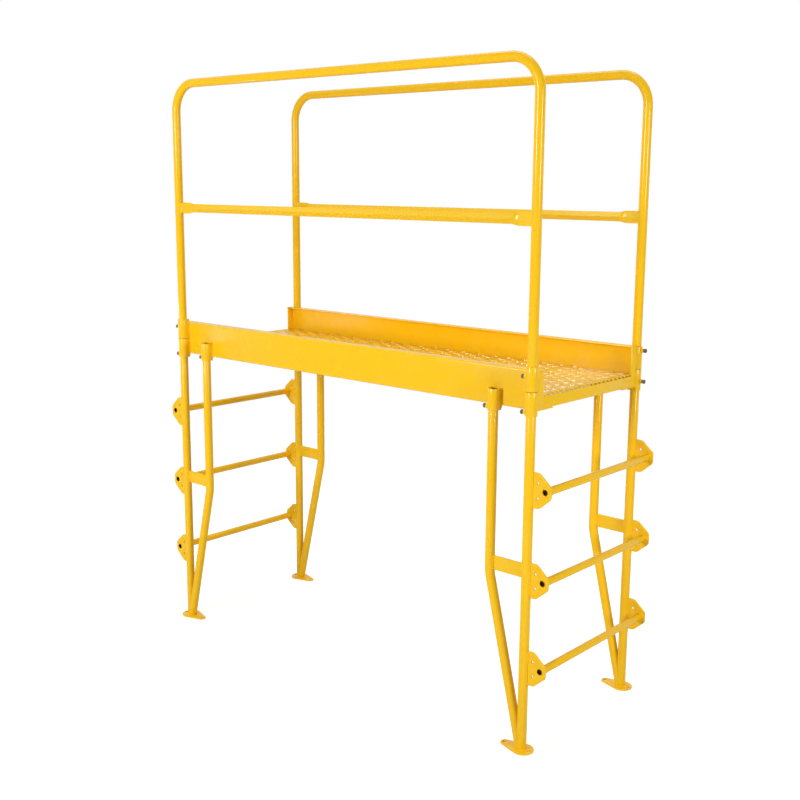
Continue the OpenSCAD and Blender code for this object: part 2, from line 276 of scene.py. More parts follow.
def coating_group():
    """Cured powder coat: slow thickness clouds, orange peel, specks of dust, and a painted
    highlight that lightens sharp edges and crests.
    """
    group = bpy.data.node_groups.new("powder_coating", "ShaderNodeTree")
    links = group.links
    group_socket(group, "Colour", "INPUT", "NodeSocketColor", (0.9, 0.5, 0.02, 1))
    group_socket(group, "Thin Colour", "INPUT", "NodeSocketColor", (0.95, 0.6, 0.1, 1))
    group_socket(group, "Dust", "INPUT", "NodeSocketFloat", 0.05)
    group_socket(group, "Gloss Low", "INPUT", "NodeSocketFloat", 0.2)
    group_socket(group, "Gloss High", "INPUT", "NodeSocketFloat", 0.32)
    group_socket(group, "Colour", "OUTPUT", "NodeSocketColor")
    group_socket(group, "Roughness", "OUTPUT", "NodeSocketFloat")
    group_socket(group, "Height", "OUTPUT", "NodeSocketFloat")
    given = group.nodes.new("NodeGroupInput").outputs
    made = group.nodes.new("NodeGroupOutput").inputs
    place = group.nodes.new("ShaderNodeTexCoord").outputs["Object"]
    cloud_noise = noise(group, links, place, scale=5.0, detail=3.0)
    clouds = ramp(group, links, cloud_noise, low=0.35, high=0.7, end=CLOUD_STRENGTH)
    speck_noise = noise(group, links, place, scale=420.0, detail=2.0)
    specks = ramp(group, links, speck_noise, low=0.68, high=0.8)
    smears = noise(group, links, place, scale=14.0, detail=4.0)
    # Sharp edges and crests are lightened towards the paler colour: this is a painted highlight.
    pointy = group.nodes.new("ShaderNodeNewGeometry").outputs["Pointiness"]
    edges = ramp(group, links, pointy, low=0.52, high=0.62)
    # The paler colour is mixed in both for real thickness clouds and for the painted edge
    # highlight.
    thin_coat_and_highlight = math_node(group, links, "MAXIMUM", clouds, edges)
    coat = mixed(group, links, thin_coat_and_highlight, given["Colour"], given["Thin Colour"])
    dusty = math_node(group, links, "MULTIPLY", specks, given["Dust"])
    links.new(mixed(group, links, dusty, coat, DUST_COLOUR), made["Colour"])
    gloss = group.nodes.new("ShaderNodeMapRange")
    gloss.inputs["From Min"].default_value = 0.3
    gloss.inputs["From Max"].default_value = 0.7
    links.new(smears, gloss.inputs["Value"])
    links.new(given["Gloss Low"], gloss.inputs["To Min"])
    links.new(given["Gloss High"], gloss.inputs["To Max"])
    links.new(gloss.outputs["Result"], made["Roughness"])
    peel = noise(group, links, place, scale=260.0, detail=1.5)
    wave = noise(group, links, place, scale=40.0, detail=1.0)
    tall_wave = math_node(group, links, "MULTIPLY", wave, WAVE_HEIGHT)
    links.new(math_node(group, links, "ADD", peel, tall_wave), made["Height"])
    return group


def metal_group():
    """Plating: fine grain, and stains that are duller and rougher."""
    group = bpy.data.node_groups.new("plated_metal", "ShaderNodeTree")
    links = group.links
    group_socket(group, "Bright", "INPUT", "NodeSocketColor", (0.6, 0.6, 0.6, 1))
    group_socket(group, "Dull", "INPUT", "NodeSocketColor", (0.3, 0.3, 0.3, 1))
    group_socket(group, "Grain", "INPUT", "NodeSocketFloat", 300.0)
    group_socket(group, "Colour", "OUTPUT", "NodeSocketColor")
    group_socket(group, "Roughness", "OUTPUT", "NodeSocketFloat")
    group_socket(group, "Height", "OUTPUT", "NodeSocketFloat")
    given = group.nodes.new("NodeGroupInput").outputs
    made = group.nodes.new("NodeGroupOutput").inputs
    place = group.nodes.new("ShaderNodeTexCoord").outputs["Object"]
    stain_noise = noise(group, links, place, scale=160.0, detail=4.0)
    stains = ramp(group, links, stain_noise, low=0.4, high=0.65)
    links.new(mixed(group, links, stains, given["Bright"], given["Dull"]), made["Colour"])
    links.new(ramp(group, links, stains, low=0, high=1, start=0.28, end=0.5), made["Roughness"])
    grain = group.nodes.new("ShaderNodeTexNoise")
    grain.inputs["Detail"].default_value = 2
    links.new(place, grain.inputs["Vector"])
    links.new(given["Grain"], grain.inputs["Scale"])
    links.new(grain.outputs["Fac"], made["Height"])
    return group


BUMP_DEPTH = 0.0004


def finish_material(name, group, values, bump, **plain):
    """Principled material fed by a finish group; plain values go on the shader's own sockets."""
    material = bpy.data.materials.new(name)
    material.use_nodes = True
    nodes, links = material.node_tree.nodes, material.node_tree.links
    skin = nodes["Principled BSDF"]
    finish = nodes.new("ShaderNodeGroup")
    finish.node_tree = group
    for socket_name, value in values.items():
        finish.inputs[socket_name].default_value = value
    relief = nodes.new("ShaderNodeBump")
    relief.inputs["Strength"].default_value = bump
    relief.inputs["Distance"].default_value = BUMP_DEPTH
    links.new(finish.outputs["Colour"], skin.inputs["Base Color"])
    links.new(finish.outputs["Roughness"], skin.inputs["Roughness"])
    links.new(finish.outputs["Height"], relief.inputs["Height"])
    links.new(relief.outputs["Normal"], skin.inputs["Normal"])
    for socket_name, value in plain.items():
        skin.inputs[socket_name.replace("_", " ")].default_value = value
    return material


coating = coating_group()
plating = metal_group()

yellow = finish_material(
    "yellow_powder_coat",
    coating,
    {"Colour": (0.93, 0.54, 0.004, 1), "Thin Colour": (0.96, 0.6, 0.02, 1), "Dust": 0.05},
    bump=0.22,
    Specular_IOR_Level=0.22,
    Coat_Weight=0.2,
    Coat_Roughness=0.08,
)
deck_yellow = finish_material(
    "deck_powder_coat",
    coating,
    {
        "Colour": (0.92, 0.53, 0.006, 1),
        # This pale colour lands on the sharp teeth crests as a painted highlight.
        "Thin Colour": (0.98, 0.68, 0.09, 1),
        "Dust": 0.14,
        "Gloss Low": 0.18,
        "Gloss High": 0.34,
    },
    bump=0.3,
    Specular_IOR_Level=0.28,
    Coat_Weight=0.2,
    Coat_Roughness=0.1,
)
bare_bore = finish_material(
    "bare_tube_bore",
    plating,
    {"Bright": (0.3, 0.17, 0.06, 1), "Dull": (0.11, 0.055, 0.02, 1), "Grain": 500.0},
    bump=0.6,
    Metallic=0.6,
)
zinc = finish_material(
    "zinc_plate",
    plating,
    {"Bright": (0.34, 0.34, 0.36, 1), "Dull": (0.11, 0.1, 0.1, 1), "Grain": 900.0},
    bump=0.3,
    Metallic=1.0,
)

# ---- Mesh helpers ----


def make_piece(bm, name, materials, body, nodes=(), crease=40):
    """A finished piece that rides on a body and stands for its CAD nodes."""
    mesh = bpy.data.meshes.new(name)
    bm.to_mesh(mesh)
    bm.free()
    for material in materials:
        mesh.materials.append(material)
    mesh.shade_smooth()
    mesh.set_sharp_from_angle(angle=math.radians(crease))
    piece = bpy.data.objects.new(name, mesh)
    scene.collection.objects.link(piece)
    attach(piece, body)
    if nodes:
        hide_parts(*nodes)
    return piece


def painted(bm, name, body, nodes=(), materials=(yellow,)):
    """A finished piece with powder coat."""
    return make_piece(bm, name, materials, body, nodes)


def verts_of(geometry):
    return [g for g in geometry if isinstance(g, bmesh.types.BMVert)]


def edges_between(bm, verts):
    wanted = set(verts)
    return [e for e in bm.edges if e.verts[0] in wanted and e.verts[1] in wanted]


def ring(bm, radius, place, sides=TUBE_SIDES):
    """A circle of edges."""
    made = bmesh.ops.create_circle(bm, radius=radius, segments=sides, matrix=place)
    return edges_between(bm, made["verts"])


def push(bm, edges, offset):
    """Extrudes edges by offset and returns the edges at the far end."""
    grown = verts_of(bmesh.ops.extrude_edge_only(bm, edges=edges)["geom"])
    bmesh.ops.translate(bm, verts=grown, vec=offset)
    return edges_between(bm, grown)


def turn(bm, edges, centre, angle, steps=16):
    """Sweeps edges about an axis along Y through centre and returns the edges at the far end."""
    verts = list(dict.fromkeys(v for e in edges for v in e.verts))
    made = bmesh.ops.spin(
        bm, geom=verts + list(edges), cent=centre, axis=(0, 1, 0), angle=angle, steps=steps
    )
    return [g for g in made["geom_last"] if isinstance(g, bmesh.types.BMEdge)]


def soften(bm, width=EDGE_ROUNDING, limit=50, segments=2):
    """Rounds every edge that turns by more than limit degrees."""
    sharp = [
        e for e in bm.edges if len(e.link_faces) == 2 and e.calc_face_angle() > math.radians(limit)
    ]
    bmesh.ops.bevel(
        bm, geom=sharp, affect="EDGES", offset=width, segments=segments, profile=0.5, material=-1
    )


def face_outward(bm):
    """Makes all faces agree; on a closed shape they look outward."""
    bmesh.ops.recalc_face_normals(bm, faces=bm.faces[:])


def tube(place, path, radius=TUBE_R, wall=TUBE_WALL, floor=None):
    """A hollow tube: path carries a ring from the start to the end. floor cuts it off level."""
    bm = bmesh.new()
    starts = []
    finishes = []
    for r in (radius, radius - wall):
        edges = ring(bm, r, place)
        starts += edges
        finishes += path(bm, edges)
        if r == radius:
            outside = len(bm.faces)
    bm.faces.ensure_lookup_table()
    for face in bm.faces[outside:]:
        face.material_index = 1
    bmesh.ops.bridge_loops(bm, edges=starts)
    if floor is None:
        bmesh.ops.bridge_loops(bm, edges=finishes)
    else:
        everything = bm.verts[:] + bm.edges[:] + bm.faces[:]
        bmesh.ops.bisect_plane(
            bm, geom=everything, plane_co=(0, 0, floor), plane_no=(0, 0, -1), clear_outer=True
        )
        bmesh.ops.bridge_loops(bm, edges=[e for e in bm.edges if e.is_boundary])
    face_outward(bm)
    soften(bm, TUBE_END_ROUNDING, limit=60)
    return bm


def straight(offset):
    """A path for tube() that runs straight."""
    return lambda bm, edges: push(bm, edges, offset)


def slab(low, high):
    """A flat bar between two corners."""
    bm = bmesh.new()
    stretch = Matrix.Diagonal((*(high - low), 1))
    bmesh.ops.create_cube(bm, size=1, matrix=Matrix.Translation((low + high) / 2) @ stretch)
    soften(bm)
    return bm


LEAST_CORNER = math.radians(25)


def flat_plate(bm, edges, thickness, corner=0):
    """Fills an outline and its holes, gives it thickness along +Z and rounds its corners."""
    bmesh.ops.triangle_fill(bm, edges=edges, use_beauty=True)
    grown = bmesh.ops.extrude_face_region(bm, geom=bm.faces[:])
    bmesh.ops.translate(bm, verts=verts_of(grown["geom"]), vec=(0, 0, thickness))
    face_outward(bm)
    if corner:
        sharp = [
            e
            for e in bm.edges
            if abs(e.verts[0].co.z - e.verts[1].co.z) > thickness / 2
            and len(e.link_faces) == 2
            and e.calc_face_angle() > LEAST_CORNER
        ]
        bmesh.ops.bevel(
            bm, geom=sharp, affect="EDGES", offset=corner, segments=5, profile=0.5, material=-1
        )
    soften(bm, PLATE_ROUNDING)


def outline(bm, points):
    """A closed outline through points in the X-Y plane."""
    verts = [bm.verts.new((u, v, 0)) for u, v in points]
    return [bm.edges.new(pair) for pair in zip(verts, verts[1:] + verts[:1])]


def thickened(bm, thickness):
    """Gives a sheet its thickness on its inner side."""
    mesh = bpy.data.meshes.new("sheet")
    bm.to_mesh(mesh)
    bm.free()
    holder = bpy.data.objects.new("sheet", mesh)
    scene.collection.objects.link(holder)
    wall = holder.modifiers.new("wall", "SOLIDIFY")
    wall.thickness = thickness
    wall.offset = -1
    wall.use_even_offset = True
    graph = bpy.context.evaluated_depsgraph_get()
    solid = bpy.data.meshes.new_from_object(holder.evaluated_get(graph))
    bpy.data.objects.remove(holder)
    bm = bmesh.new()
    bm.from_mesh(solid)
    bpy.data.meshes.remove(solid)
    return bm


def point_away(bm, centre):
    """Turns all faces of a sheet so that they look away from centre."""
    outward = sum(f.normal.dot(f.calc_center_median() - centre) * f.calc_area() for f in bm.faces)
    if outward < 0:
        bmesh.ops.reverse_faces(bm, faces=bm.faces[:])


def join(bm, part, place):
    """Adds a part, carried to its place, to a piece."""
    bmesh.ops.transform(part, matrix=place, verts=part.verts[:])
    face_outward(part)
    mesh = bpy.data.meshes.new("part")
    part.to_mesh(mesh)
    part.free()
    bm.from_mesh(mesh)
    bpy.data.meshes.remove(mesh)


def full_spin(bm, geometry, steps):
    """Sweeps geometry once round the Z axis and closes it."""
    bmesh.ops.spin(
        bm,
        geom=geometry,
        cent=(0, 0, 0),
        axis=(0, 0, 1),
        angle=math.tau,
        steps=steps,
        use_merge=True,
    )


def lathe(points, steps=24):
    """Spins a profile of (radius, height) points round the Z axis."""
    part = bmesh.new()
    verts = [part.verts.new((r, 0, z)) for r, z in points]
    edges = [part.edges.new(pair) for pair in zip(verts, verts[1:])]
    full_spin(part, verts + edges, steps)
    bmesh.ops.remove_doubles(part, verts=part.verts[:], dist=1e-6)
    return part


# ---- Welds ----

RIPPLE_LENGTH = 0.004
RING_RIPPLE = 0.14
LINE_RIPPLE = 0.12
BEAD_TIP = 0.45
BEAD_SWELL = 2.5

# How far the axis of a bead stands out from what it runs along
WEB_PROUD = 0.0005
TIE_PROUD = 0.0006
RUNG_PROUD = 0.0008
PLATE_PROUD = 0.001


def ring_bead(bm, place, radius, ripples=40, size=BEAD):
    """A weld bead round a tube, with the ripples of its passes."""
    part = bmesh.new()
    section = Matrix.Translation((radius, 0, 0)) @ Matrix.Rotation(math.pi / 2, 4, "X")
    bmesh.ops.create_circle(part, radius=size, segments=8, matrix=section)
    full_spin(part, part.verts[:] + part.edges[:], ripples * 2)
    for vert in part.verts:
        angle = math.atan2(vert.co.y, vert.co.x)
        middle = Vector((radius * math.cos(angle), radius * math.sin(angle), 0))
        vert.co = middle + (vert.co - middle) * (1 + RING_RIPPLE * math.cos(ripples * angle))
    join(bm, part, place)


def line_bead(bm, start, end, size=BEAD):
    """A straight weld bead with ripples and rounded ends."""
    run = end - start
    steps = max(6, 2 * round(run.length / RIPPLE_LENGTH))
    part = bmesh.new()
    edges = ring(part, size, Matrix(), 8)
    for _ in range(steps):
        edges = push(part, edges, (0, 0, run.length / steps))
    bmesh.ops.holes_fill(part, edges=[e for e in part.edges if e.is_boundary], sides=8)
    for vert in part.verts:
        along = min(1, max(0, vert.co.z / run.length))
        swell = min(1, BEAD_TIP + BEAD_SWELL * math.sqrt(along * (1 - along)))
        ripple = 1 + LINE_RIPPLE * math.cos(math.pi * along * steps)
        vert.co.x *= swell * ripple
        vert.co.y *= swell * ripple
    join(bm, part, Matrix.Translation(start) @ run.to_track_quat("Z", "Y").to_matrix().to_4x4())


def upright_bead(bm, x, y, low, high, inset, size=BEAD):
    """A bead up a piece from low to high, but for inset at each end."""
    foot = Vector((x, y, low.z + inset))
    line_bead(bm, foot, foot + UP * (high.z - low.z - 2 * inset), size)


# ---- Guardrails ----


def hoop_path(bm, edges):
    """Up one post, over the top rail and down the other post."""
    rise = HOOP_AXIS_Z - HOOP_BEND - hoop_low.z
    edges = push(bm, edges, UP * rise)
    y = edges[0].verts[0].co.y
    level = HOOP_AXIS_Z - HOOP_BEND
    edges = turn(bm, edges, (-POST_X + HOOP_BEND, y, level), math.pi / 2)
    edges = push(bm, edges, Vector((2 * (POST_X - HOOP_BEND), 0, 0)))
    edges = turn(bm, edges, (POST_X - HOOP_BEND, y, level), math.pi / 2)
    return push(bm, edges, DOWN * rise)


def guardrail_hoop(side):
    start = Matrix.Translation((-POST_X, SIDES[side] * POST_Y, hoop_low.z))
    bm = tube(start, hoop_path)
    return painted(bm, f"{side}_hoop_tube", f"{side}_guardrail", [f"{side}_guardrail_hoop"])


def crimp(verts, x, flatness):
    """Sets a ring of a rail at x between round (0) and pressed flat (1)."""
    for vert in verts:
        angle = math.atan2(vert.co.y, vert.co.z)
        flat_y = CRIMP_HALF_THICKNESS * max(-1, min(1, CRIMP_SQUARENESS * math.sin(angle)))
        flat_z = CRIMP_HALF_HEIGHT * math.cos(angle)
        round_y = TUBE_R * math.sin(angle)
        round_z = TUBE_R * math.cos(angle)
        vert.co.x = x
        vert.co.y = round_y + (flat_y - round_y) * flatness
        vert.co.z = round_z + (flat_z - round_z) * flatness


def mid_rail(side):
    """A tube whose ends are pressed flat against the posts."""
    bm = bmesh.new()
    flat_start = POST_X - TUBE_R - CRIMP_LENGTH
    verts = bmesh.ops.create_circle(
        bm, radius=TUBE_R, segments=TUBE_SIDES, matrix=Matrix.Rotation(math.pi / 2, 4, "Y")
    )["verts"]
    edges = edges_between(bm, verts)
    stations = [(-POST_X + CRIMP_ROOT, 1.0)]
    for step in range(CRIMP_STEPS + 1):
        t = step / CRIMP_STEPS
        stations.append((-flat_start + t * CRIMP_TAPER, 1 - t * t * (3 - 2 * t)))
    stations += [(-x, flatness) for x, flatness in reversed(stations)]
    crimp(verts, *stations[0])
    for x, flatness in stations[1:]:
        edges = push(bm, edges, (0.001, 0, 0))
        crimp(list(dict.fromkeys(v for e in edges for v in e.verts)), x, flatness)
    bmesh.ops.holes_fill(bm, edges=[e for e in bm.edges if e.is_boundary], sides=0)
    face_outward(bm)
    bmesh.ops.translate(bm, verts=bm.verts[:], vec=(0, SIDES[side] * POST_Y, RAIL_Z))
    return painted(bm, f"{side}_rail_tube", f"{side}_guardrail", [f"{side}_mid_rail"])


def guardrail_welds(side):
    """Beads down both faces of each flattened rail end where it meets its post."""
    bm = bmesh.new()
    y = SIDES[side] * POST_Y
    for end in ENDS.values():
        for face in (-1, 1):
            x = end * (POST_X - CRIMP_WELD)
            inset = 0.05 * CRIMP_HALF_HEIGHT
            upright_bead(bm, x, y + face * CRIMP_HALF_THICKNESS, rail_low, rail_high, inset)
    return painted(bm, f"{side}_guardrail_welds", f"{side}_guardrail")


# ---- Deck ----


def side_channel(side):
    """A bent channel: wide bottom flange, the web that is the toe board, narrow top flange."""
    low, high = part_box(f"{side}_side_channel")
    way = SIDES[side]
    outer, inner = (low.y, high.y) if way < 0 else (high.y, low.y)
    bm = bmesh.new()
    profile = [(inner, low.z), (outer, low.z), (outer, high.z), (outer - way * TOP_FLANGE, high.z)]
    verts = [bm.verts.new((low.x, y, z)) for y, z in profile]
    edges = [bm.edges.new(pair) for pair in zip(verts, verts[1:])]
    push(bm, edges, (high.x - low.x, 0, 0))
    point_away(bm, Vector((0, inner, (low.z + high.z) / 2)))
    bends = [e for e in bm.edges if len(e.link_faces) == 2]
    bmesh.ops.bevel(
        bm, geom=bends, affect="EDGES", offset=CHANNEL_BEND, segments=6, profile=0.5, material=-1
    )
    bm = thickened(bm, CHANNEL_PLATE)
    soften(bm, CHANNEL_ROUNDING)
    return painted(bm, f"{side}_toe_board_channel", "deck", [f"{side}_side_channel"])


def box_piece(node, name, body):
    """A flat bar as large as its CAD node."""
    return painted(slab(*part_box(node)), name, body, [node])


CREST = 0.003
CELL = 0.052
ROW = 0.044
PLANK_SHEET = 0.002
PLANK_EDGE = 0.007
PLANK_LIP = 0.016
OPENING_DEPTH = 0.0028
OPENING_MARGINS = (0.0065, 0.0045)
RIM_FOOT = (0.0022, 0.0026)
RIM_SLOPE = (0.0012, 0.0016)
SMALL_TOOTH = 0.62
LOWEST_TOOTH = 0.16
NOTCH_DEPTH = 0.009
TOOTH_SHARE = 0.34
NEAR = 1e-4


def diamond(bm, half_width, half_length, level, teeth):
    """A ring of 16 points on a diamond; teeth lifts it most at its two sides."""
    verts = bmesh.ops.create_circle(bm, radius=1, segments=16)["verts"]
    for index, vert in enumerate(verts):
        reach = abs(vert.co.x) + abs(vert.co.y)
        side = abs(vert.co.x) / reach
        lift = side**2 * (1.0 if index % 2 == 0 else SMALL_TOOTH)
        vert.co = (
            half_width * vert.co.x / reach,
            half_length * vert.co.y / reach,
            level + teeth * max(LOWEST_TOOTH, lift),
        )
    return edges_between(bm, verts)


def deck_cell(width):
    """One cell of the plank: a flat frame round a diamond opening with a raised toothed rim."""
    bm = bmesh.new()
    x, y = width / 2, CELL / 2
    rim = outline(bm, [(x, 0), (x, y), (0, y), (-x, y), (-x, 0), (-x, -y), (0, -y), (x, -y)])
    half_width, half_length = x - OPENING_MARGINS[0], y - OPENING_MARGINS[1]
    foot = diamond(bm, half_width + RIM_FOOT[0], half_length + RIM_FOOT[1], 0, 0)
    bmesh.ops.triangle_fill(bm, edges=rim + foot, use_beauty=True)
    crest = diamond(bm, half_width, half_length, 0, CREST)
    bmesh.ops.bridge_loops(bm, edges=foot + crest)
    throat = diamond(bm, half_width - RIM_SLOPE[0], half_length - RIM_SLOPE[1], -OPENING_DEPTH, 0)
    bmesh.ops.bridge_loops(bm, edges=crest + throat)
    mesh = bpy.data.meshes.new("deck_cell")
    bm.to_mesh(mesh)
    bm.free()
    return mesh


def border_at(bm, x):
    """Open edges that run along the plank at x."""
    return [e for e in bm.edges if e.is_boundary and all(abs(v.co.x - x) < NEAR for v in e.verts)]


def plank_side(bm, x, outward, level, bottom):
    """Folds one long edge of the tread: a raised ridge, a notched wall, the leg and its lip."""
    ridge = push(bm, border_at(bm, x), (outward * PLANK_EDGE, 0, CREST))
    bmesh.ops.subdivide_edges(bm, edges=ridge, cuts=2)
    tip = x + outward * PLANK_EDGE
    edge = border_at(bm, tip)
    for offset in (
        (0, 0, -NOTCH_DEPTH),
        (0, 0, bottom - level - CREST + NOTCH_DEPTH),
        (-outward * PLANK_LIP, 0, 0),
    ):
        edge = push(bm, edge, offset)
    notches = []
    for face in bm.faces:
        centre = face.calc_center_median()
        along = (centre.y / (CELL / 2)) % 1
        on_wall = abs(centre.x - tip) < NEAR and centre.z > level + CREST - NOTCH_DEPTH
        if on_wall and along > TOOTH_SHARE:
            notches.append(face)
    bmesh.ops.delete(bm, geom=notches, context="FACES")


def deck_plank(number):
    """A pressed plank: rows of toothed diamond openings between two folded legs."""
    low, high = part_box(f"deck_plank_{number}")
    tread = high.x - low.x - 2 * PLANK_EDGE
    rows = round(tread / ROW)
    width = tread / rows
    level = high.z - CREST
    count = math.ceil((high.y - low.y) / CELL) + 1
    cell = deck_cell(width)
    bm = bmesh.new()
    for row in range(rows):
        for step in range(count + 1):
            bm.verts.ensure_lookup_table()
            first = len(bm.verts)
            bm.from_mesh(cell)
            bm.verts.ensure_lookup_table()
            y = (step - count / 2 + (row % 2) / 2) * CELL
            place = (low.x + PLANK_EDGE + (row + 0.5) * width, y, level)
            bmesh.ops.translate(bm, verts=bm.verts[first:], vec=place)
    bpy.data.meshes.remove(cell)
    bmesh.ops.remove_doubles(bm, verts=bm.verts[:], dist=1e-5)
    for y, way in ((low.y, -1), (high.y, 1)):
        bmesh.ops.bisect_plane(
            bm,
            geom=bm.verts[:] + bm.edges[:] + bm.faces[:],
            plane_co=(0, y, 0),
            plane_no=(0, way, 0),
            clear_outer=True,
        )
    plank_side(bm, low.x + PLANK_EDGE, -1, level, low.z)
    plank_side(bm, high.x - PLANK_EDGE, 1, level, low.z)
    face_outward(bm)
    point_away(bm, Vector(((low.x + high.x) / 2, 0, low.z)))
    bm = thickened(bm, PLANK_SHEET)
    return painted(
        bm,
        f"serrated_plank_{number}",
        "deck",
        [f"deck_plank_{number}"],
        (deck_yellow,),
    )


def deck_welds():
    """Beads along the sockets where they meet the channels, and at the ends of the end beams."""
    bm = bmesh.new()
    for side, way in SIDES.items():
        for end, sign in ENDS.items():
            for kind in ("guardrail", "corner_leg", "inner_leg"):
                low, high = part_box(f"{side}_{end}_{kind}_socket")
                axis, outboard = POST_X, ROUND_SIDE
                if kind == "inner_leg":
                    axis, outboard = INNER_X, SOCKET_R
                y = way * (WEB_Y + WEB_PROUD)
                for x in (axis - SOCKET_R, axis + outboard):
                    upright_bead(bm, sign * x, y, low, high, inset=0.006, size=THIN_BEAD)
            low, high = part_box(f"{end}_end_beam")
            x = low.x if sign > 0 else high.x
            upright_bead(bm, x, way * high.y, low, high, inset=0.004, size=THIN_BEAD)
    return painted(bm, "deck_welds", "deck")


# ---- Sockets and set bolts ----


def leg_socket(side, end, kind):
    """A plate folded round the tube: straight sides run to the channel, round ones curl in."""
    node = f"{side}_{end}_{kind}_socket"
    low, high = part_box(node)
    way = SIDES[side]
    x = INNER_X if kind == "inner_leg" else POST_X
    centre = Vector((ENDS[end] * x, way * POST_Y, low.z))
    web = way * WEB_Y
    height = UP * (high.z - low.z)
    bm = bmesh.new()
    left = bm.verts.new(centre + Vector((-SOCKET_R, 0, 0)))
    half = bmesh.ops.spin(
        bm, geom=[left], cent=centre, axis=(0, 0, 1), angle=-way * math.pi, steps=24
    )
    right = verts_of(half["geom_last"])[0]
    curl = -way * math.asin((POST_Y - WEB_Y) / SOCKET_R)
    for vert, sign in ((left, -1), (right, 1)):
        if kind == "inner_leg" or sign == -ENDS[end]:
            foot = bm.verts.new((centre.x + sign * SOCKET_R, web, low.z))
            bm.edges.new((vert, foot))
        else:
            bmesh.ops.spin(
                bm, geom=[vert], cent=centre, axis=(0, 0, 1), angle=sign * curl, steps=8
            )
    push(bm, bm.edges[:], height)
    face_outward(bm)
    point_away(bm, centre + height / 2)
    bm = thickened(bm, SOCKET_WALL)
    soften(bm, PLATE_ROUNDING)
    return painted(bm, f"{side}_{end}_{kind}_saddle", "deck", [node])


HEX_FLATS = 0.0143
HEX_R = HEX_FLATS / 2 / math.cos(math.pi / 6)
HEAD_HEIGHT = 0.0062
HEAD_REACH = 0.0329
NUT_HEIGHT = 0.0083
BOLT_R = 0.00475
THREAD_ROOT_R = 0.0041
THREAD_PITCH = 0.0016
WASHER_FACE = 0.0006
WASHER_R = 0.0067
BOLT_TIP_GAP = 0.0004
HEAD_ROUNDING = 0.0011
NUT_ROUNDING = 0.0008
NUT_PROUD = 0.0004
NUT_BEAD = 0.0016
NUT_BEAD_R = 0.93 * HEX_R
NUT_RIPPLES = 14


def hexagon(bm, place, start, height, rounding):
    """A hexagonal block with its corners taken off round both ends."""
    part = bmesh.new()
    middle = Matrix.Translation((0, 0, start + height / 2))
    bmesh.ops.create_cone(
        part, cap_ends=True, segments=6, radius1=HEX_R, radius2=HEX_R, depth=height, matrix=middle
    )
    level = [e for e in part.edges if abs(e.verts[0].co.z - e.verts[1].co.z) < height / 2]
    bmesh.ops.bevel(
        part, geom=level, affect="EDGES", offset=rounding, segments=3, profile=0.5, material=-1
    )
    join(bm, part, place)


def bolt(bm, place):
    """Hex head, its washer face and a threaded shank that ends at the tube."""
    hexagon(bm, place, HEAD_REACH, HEAD_HEIGHT, HEAD_ROUNDING)
    face = HEAD_REACH - WASHER_FACE
    back = HEAD_REACH + WASHER_FACE
    washer = [(0, back), (WASHER_R, back), (WASHER_R, face), (0, face)]
    join(bm, lathe(washer), place)
    z = TUBE_R + BOLT_TIP_GAP
    thread = [(0, z)]
    while z < face - THREAD_PITCH:
        thread += [(THREAD_ROOT_R, z), (BOLT_R, z + THREAD_PITCH / 2)]
        z += THREAD_PITCH
    thread += [(THREAD_ROOT_R, z), (THREAD_ROOT_R, face), (0, face)]
    join(bm, lathe(thread), place)


def nut(bm, place):
    """A hex nut and the bead that holds it to its socket."""
    hexagon(bm, place, SOCKET_R, NUT_HEIGHT, NUT_ROUNDING)
    seat = place @ Matrix.Translation((0, 0, SOCKET_R + NUT_PROUD))
    ring_bead(bm, seat, NUT_BEAD_R, NUT_RIPPLES, NUT_BEAD)


def fastener_places(node):
    """Where the four bolts of a group stand: each one points out of its side of the deck."""
    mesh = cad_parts[node].data
    places = []
    for way in SIDES.values():
        for sign in ENDS.values():
            near = [v.co for v in mesh.vertices if v.co.y * way > 0 and v.co.x * sign > 0]
            heights = [co.z for co in near]
            z = (min(heights) + max(heights)) / 2
            x = INNER_X if node.startswith("inner") else POST_X
            turned = Matrix.Rotation(way * math.pi / 2, 4, "Y")
            places.append(Matrix.Translation((sign * x, way * POST_Y, z)) @ turned)
    return places


def fasteners():
    """All set bolts, one piece for each kind, and their nuts."""
    nuts = bmesh.new()
    for kind in ("guardrail", "corner_leg", "inner_leg"):
        bm = bmesh.new()
        for place in fastener_places(f"{kind}_set_bolts"):
            bolt(bm, place)
            nut(nuts, place)
        make_piece(bm, f"{kind}_hex_bolts", (zinc,), "deck", [f"{kind}_set_bolts"], 30)
    painted(nuts, "welded_nuts", "deck", ["weld_nuts"])


# ---- End frames ----


def corner_leg(side, end):
    node = f"{side}_{end}_corner_leg"
    low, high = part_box(node)
    start = Matrix.Translation(((low.x + high.x) / 2, SIDES[side] * POST_Y, low.z))
    bm = tube(start, straight(UP * (high.z - low.z)))
    return painted(bm, f"{side}_{end}_corner_tube", f"{end}_end_frame", [node])


def inner_leg(side, end):
    """A leg that runs straight down, bends outward and stands against the corner leg."""
    sign = ENDS[end]
    y = SIDES[side] * POST_Y
    bend_start = LEG_BEND_Z + LEG_BEND_R * math.tan(SLANT / 2)

    def path(bm, edges):
        edges = push(bm, edges, DOWN * (INNER_LEG_TOP - bend_start))
        centre = (sign * (INNER_X + LEG_BEND_R), y, bend_start)
        edges = turn(bm, edges, centre, -sign * SLANT, 8)
        slope = Vector((sign * math.sin(SLANT), 0, -math.cos(SLANT)))
        return push(bm, edges, slope * (LEG_BEND_Z / math.cos(SLANT) + TUBE_R))

    start = Matrix.Translation((sign * INNER_X, y, INNER_LEG_TOP))
    bm = tube(start, path, floor=PLATE)
    return painted(bm, f"{side}_{end}_inner_tube", f"{end}_end_frame", [f"{side}_{end}_inner_leg"])


